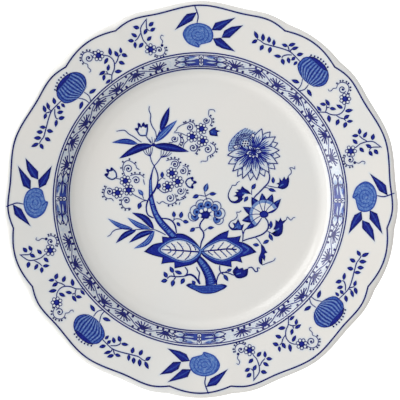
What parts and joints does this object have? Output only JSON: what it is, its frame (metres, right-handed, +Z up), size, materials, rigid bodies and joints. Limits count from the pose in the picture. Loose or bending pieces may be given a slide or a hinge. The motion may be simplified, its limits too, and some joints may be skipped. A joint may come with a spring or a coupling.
{
  "type": "dinner plate",
  "caption": "Round china dinner plate with a wide sloping rim, a scalloped edge with a rolled lip, a flat well and a bare foot ring.",
  "frame": {"origin": "middle of the foot ring's contact face, on the table", "axes": "+Z up, out of the face of the plate and along its axis; +Y to the crest of one of the five long lobes of the edge, which is the top of the painting; +X to the right"},
  "size_m": [0.248, 0.2493, 0.0234],
  "materials": {
    "porcelain": "matt, unglazed white porcelain",
    "glaze": "clear glossy glaze over warm white porcelain",
    "cobalt": "cobalt blue brushwork under glossy glaze, from pale wash to near black"
  },
  "bodies": {
    "root": {"porcelain_body": "porcelain", "glaze_coat": "glaze", "foot_well_glaze": "glaze"}
  },
  "joints": []
}
